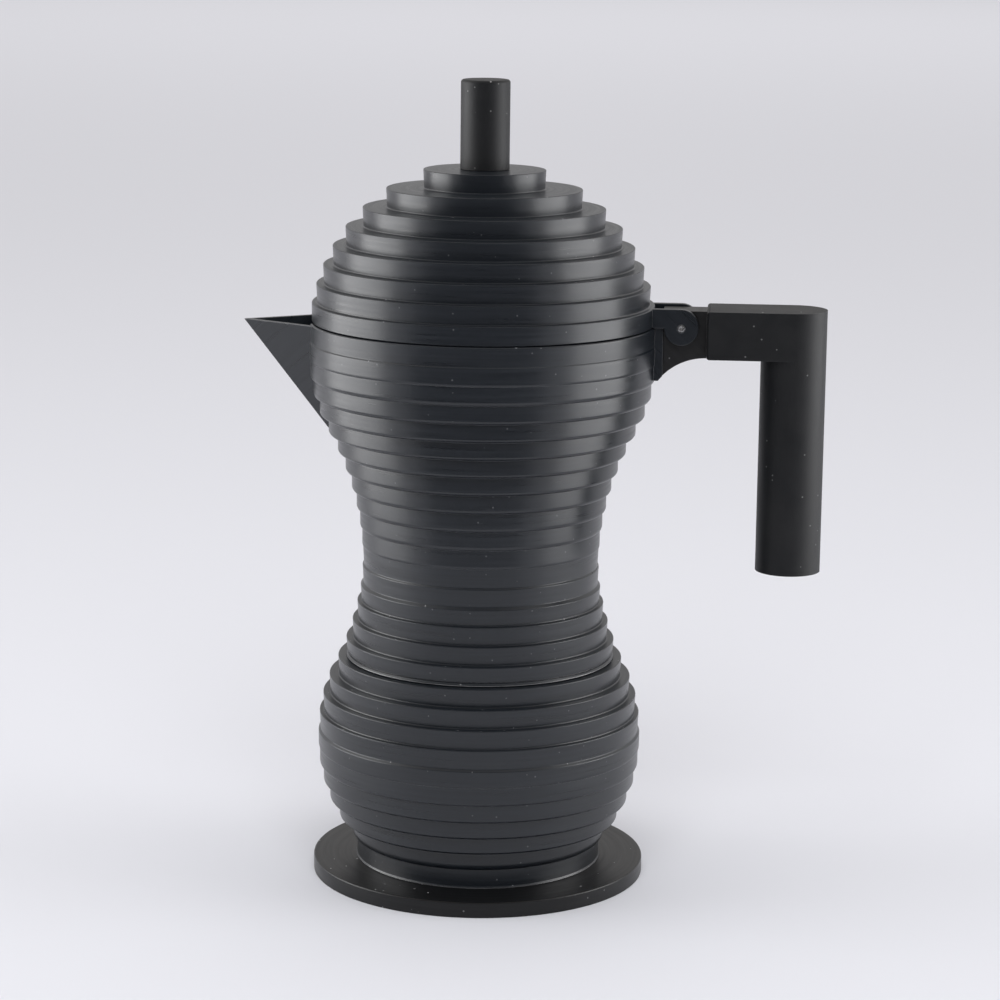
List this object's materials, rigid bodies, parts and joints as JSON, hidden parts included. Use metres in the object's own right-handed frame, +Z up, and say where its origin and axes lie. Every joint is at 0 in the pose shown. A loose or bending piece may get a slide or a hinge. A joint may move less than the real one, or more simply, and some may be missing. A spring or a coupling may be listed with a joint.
{
  "type": "moka pot",
  "caption": "Stovetop moka pot with stepped ring casting, wide base plate, V spout, domed hinged lid with rod knob, and a straight hanging grip; the top unscrews.",
  "frame": {"origin": "on the pot's axis, at the underside of the base plate", "axes": "+Z up along the pot's axis, +X towards the handle, -X towards the spout, +Y out of the safety valve"},
  "size_m": [0.1849, 0.1182, 0.2558],
  "materials": {
    "body_coat": "satin black coat over turned cast aluminium rings",
    "plate_coat": "satin black coat over a steel plate",
    "bracket_coat": "satin black coat",
    "black_plastic": "matte fine-grained moulding",
    "cast_aluminium": "bare, lightly brushed",
    "steel": "bare stainless",
    "pin_steel": "rolled, bare",
    "brass": "machined",
    "seal": "soft silicone"
  },
  "bodies": {
    "base": {"base_plate": "plate_coat", "boiler": "body_coat", "valve_body": "brass", "valve_spring": "steel", "valve_cap": "brass"},
    "valve_pin": {"valve_pin": "steel"},
    "funnel": {"funnel": "cast_aluminium", "funnel_strainer": "cast_aluminium"},
    "filter": {"filter_plate": "cast_aluminium"},
    "seal": {"gasket": "seal"},
    "top": {"collector": "body_coat", "column": "cast_aluminium", "column_cap": "cast_aluminium", "hinge_bracket": "bracket_coat", "bracket_screws": "steel", "handle": "black_plastic", "handle_screw": "steel", "hinge_pin": "pin_steel"},
    "lid": {"lid": "body_coat", "knob": "black_plastic", "knob_insert": "brass", "knob_screw": "steel", "knob_washer": "steel"}
  },
  "joints": [
    {"name": "valve_lift", "type": "slide", "parent": "base", "child": "valve_pin", "axis": [0, 1, 0], "range_m": [0, 0.0012], "stiffness_N_per_m": 2000, "springref_m": -0.002, "deforming": ["valve_spring"]},
    {"name": "funnel_lift", "type": "slide", "parent": "base", "child": "funnel", "axis": [0, 0, 1], "range_m": [0, 0.0901]},
    {"name": "top_lift", "type": "slide", "parent": "base", "child": "filter", "axis": [0, 0, 1], "range_m": [0, 0.12]},
    {"name": "top_rise", "type": "slide", "parent": "filter", "child": "seal", "axis": [0, 0, 1], "range_m": [0, 0.00751]},
    {"name": "top_unscrew", "type": "hinge", "parent": "seal", "child": "top", "pos_m": [0, 0, 0.0789], "axis": [0, 0, 1], "range_deg": [0, 900]},
    {"name": "lid_hinge", "type": "hinge", "parent": "top", "child": "lid", "pos_m": [0.06267, 0, 0.17975], "axis": [0, 1, 0], "range_deg": [0, 100]}
  ],
  "couplings": [
    {"joint": "top_rise", "follows": "top_unscrew", "m_per_rad": 0.00047746},
    {"joint": "funnel_lift", "follows": "top_lift", "ratio": 0.75}
  ]
}
